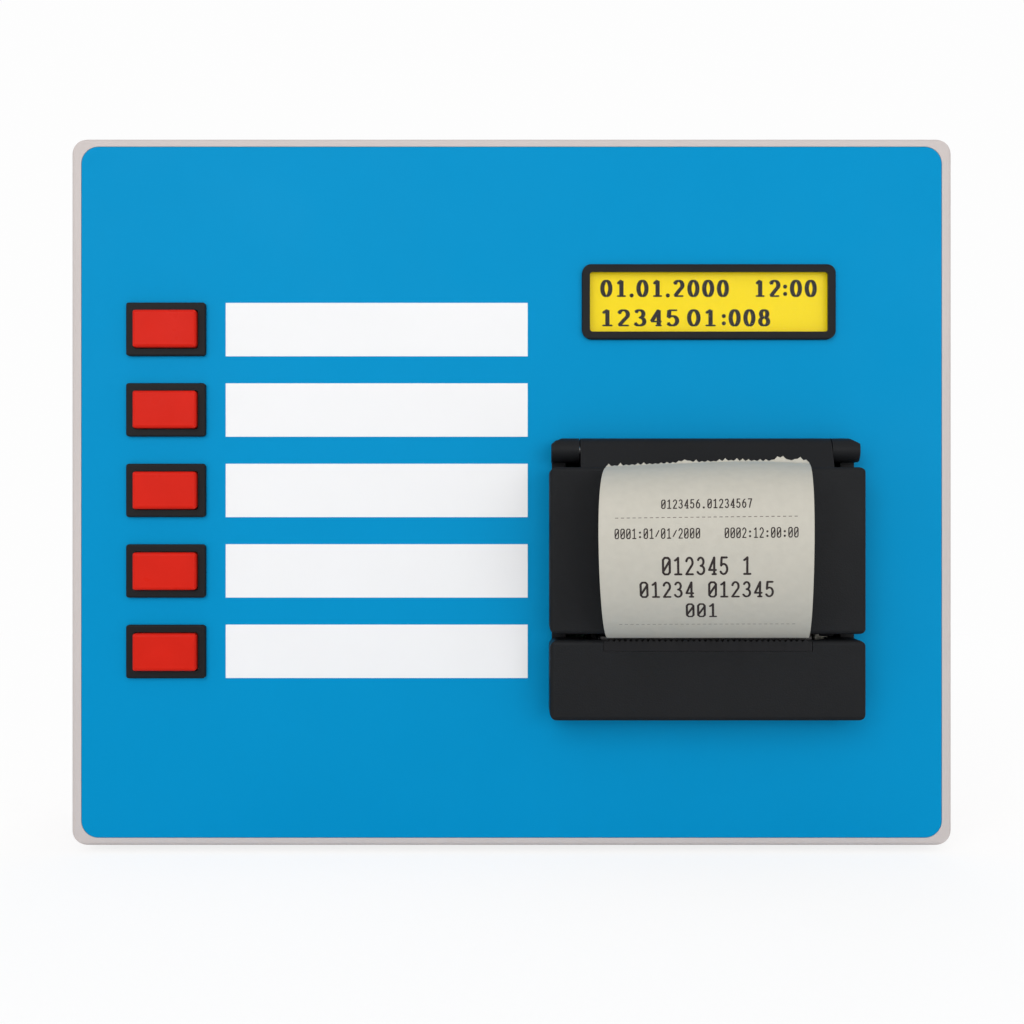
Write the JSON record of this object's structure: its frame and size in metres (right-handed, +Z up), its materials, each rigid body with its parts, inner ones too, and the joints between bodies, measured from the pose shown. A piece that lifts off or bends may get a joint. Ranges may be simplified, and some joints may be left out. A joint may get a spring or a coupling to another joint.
{
  "type": "queue ticket printer",
  "caption": "Countertop queue ticket printer: upright moulded case with service buttons, a yellow display and a thermal ticket printer with a hinged door.",
  "frame": {"origin": "middle of the bounding box, on the surface that the rubber feet stand on", "axes": "+X to the right seen from the front, +Y from the front to the back, +Z up"},
  "size_m": [0.254, 0.1306, 0.206],
  "materials": {
    "case": "fine moulded texture",
    "overlay": "satin printed film",
    "labels": "white write-on film",
    "steel": "bright",
    "dark_steel": "blackened",
    "rubber": "soft",
    "black_plastic": "fine spark texture",
    "window": "clear acrylic",
    "lcd": "yellow display",
    "light_guide": "milky",
    "circuit_board": "solder mask",
    "red_cap": "glossy",
    "brass": "stamped",
    "roller_rubber": "ground",
    "nylon": "natural",
    "aluminium": "extruded",
    "ceramic": "glazed",
    "paper": "thermal paper",
    "cardboard": "wound tube",
    "cable": "flat cable",
    "parts": "electronic components"
  },
  "bodies": {
    "root": {"front_shell": "case", "rear_cover": "case", "front_overlay": "overlay", "service_labels": "labels", "case_screws": "steel", "rubber_feet": "rubber", "lcd_frame": "black_plastic", "lcd_window": "window", "lcd_glass": "lcd", "lcd_bezel": "steel", "lcd_backlight": "light_guide", "lcd_board": "circuit_board", "button_terminals": "brass", "button_board": "circuit_board", "printer_housing": "black_plastic", "printer_front_block": "black_plastic", "door_hinge_pin": "steel", "printer_chassis": "black_plastic", "stepper_motor": "steel", "head_springs": "steel", "tear_bar": "dark_steel", "paper_web": "paper", "paper_sensor": "parts", "printer_board": "circuit_board", "printer_clamps": "steel", "main_board": "circuit_board", "main_board_parts": "parts", "ribbon_cables": "cable", "dc_jack": "black_plastic", "power_switch": "black_plastic", "data_socket": "black_plastic", "inner_screws": "steel", "button_housing_1": "black_plastic", "button_spring_1": "steel", "button_housing_2": "black_plastic", "button_spring_2": "steel", "button_housing_3": "black_plastic", "button_spring_3": "steel", "button_housing_4": "black_plastic", "button_spring_4": "steel", "button_housing_5": "black_plastic", "button_spring_5": "steel"},
    "door": {"printer_door": "black_plastic", "ticket": "paper", "platen_bushings": "black_plastic"},
    "platen": {"platen_shaft": "steel", "platen_roller": "roller_rubber", "platen_gear": "black_plastic"},
    "idler": {"idler_gear": "nylon"},
    "pinion": {"motor_pinion": "brass"},
    "roll": {"paper_roll": "paper", "roll_core": "cardboard"},
    "head": {"print_head": "ceramic", "head_heatsink": "aluminium"},
    "rocker": {"power_rocker": "black_plastic"},
    "button_1": {"button_cap_1": "red_cap"},
    "button_2": {"button_cap_2": "red_cap"},
    "button_3": {"button_cap_3": "red_cap"},
    "button_4": {"button_cap_4": "red_cap"},
    "button_5": {"button_cap_5": "red_cap"}
  },
  "joints": [
    {"name": "door_hinge", "type": "hinge", "parent": "root", "child": "door", "pos_m": [0.055, -0.02837, 0.11585], "axis": [-1, 0, 0], "range_deg": [0, 95]},
    {"name": "roll_spin", "type": "hinge", "parent": "root", "child": "roll", "pos_m": [0.055, -0.01007, 0.0906], "axis": [1, 0, 0], "continuous": true},
    {"name": "platen_spin", "type": "hinge", "parent": "door", "child": "platen", "pos_m": [0.055, -0.02837, 0.06785], "axis": [1, 0, 0], "continuous": true},
    {"name": "idler_spin", "type": "hinge", "parent": "root", "child": "idler", "pos_m": [0.055, -0.01537, 0.06785], "axis": [1, 0, 0], "continuous": true},
    {"name": "pinion_spin", "type": "hinge", "parent": "root", "child": "pinion", "pos_m": [0.055, -0.00724, 0.05972], "axis": [1, 0, 0], "continuous": true},
    {"name": "head_rock", "type": "hinge", "parent": "root", "child": "head", "pos_m": [0.055, -0.01747, 0.06055], "axis": [1, 0, 0], "range_deg": [0, 3], "stiffness_Nm_per_rad": 0.6, "springref_deg": -2.86, "deforming": ["head_springs"]},
    {"name": "power_rock", "type": "hinge", "parent": "root", "child": "rocker", "pos_m": [0.068, 0.06073, 0.024], "axis": [1, 0, 0], "range_deg": [0, 20]},
    {"name": "button_press_1", "type": "slide", "parent": "root", "child": "button_1", "axis": [0, 1, 0], "range_m": [0, 0.0018], "stiffness_N_per_m": 300, "springref_m": -0.003, "deforming": ["button_spring_1"]},
    {"name": "button_press_2", "type": "slide", "parent": "root", "child": "button_2", "axis": [0, 1, 0], "range_m": [0, 0.0018], "stiffness_N_per_m": 300, "springref_m": -0.003, "deforming": ["button_spring_2"]},
    {"name": "button_press_3", "type": "slide", "parent": "root", "child": "button_3", "axis": [0, 1, 0], "range_m": [0, 0.0018], "stiffness_N_per_m": 300, "springref_m": -0.003, "deforming": ["button_spring_3"]},
    {"name": "button_press_4", "type": "slide", "parent": "root", "child": "button_4", "axis": [0, 1, 0], "range_m": [0, 0.0018], "stiffness_N_per_m": 300, "springref_m": -0.003, "deforming": ["button_spring_4"]},
    {"name": "button_press_5", "type": "slide", "parent": "root", "child": "button_5", "axis": [0, 1, 0], "range_m": [0, 0.0018], "stiffness_N_per_m": 300, "springref_m": -0.003, "deforming": ["button_spring_5"]}
  ],
  "couplings": [
    {"joint": "platen_spin", "follows": "roll_spin", "ratio": 4.2222},
    {"joint": "idler_spin", "follows": "roll_spin", "ratio": -2.2353},
    {"joint": "pinion_spin", "follows": "roll_spin", "ratio": 6.3333}
  ]
}
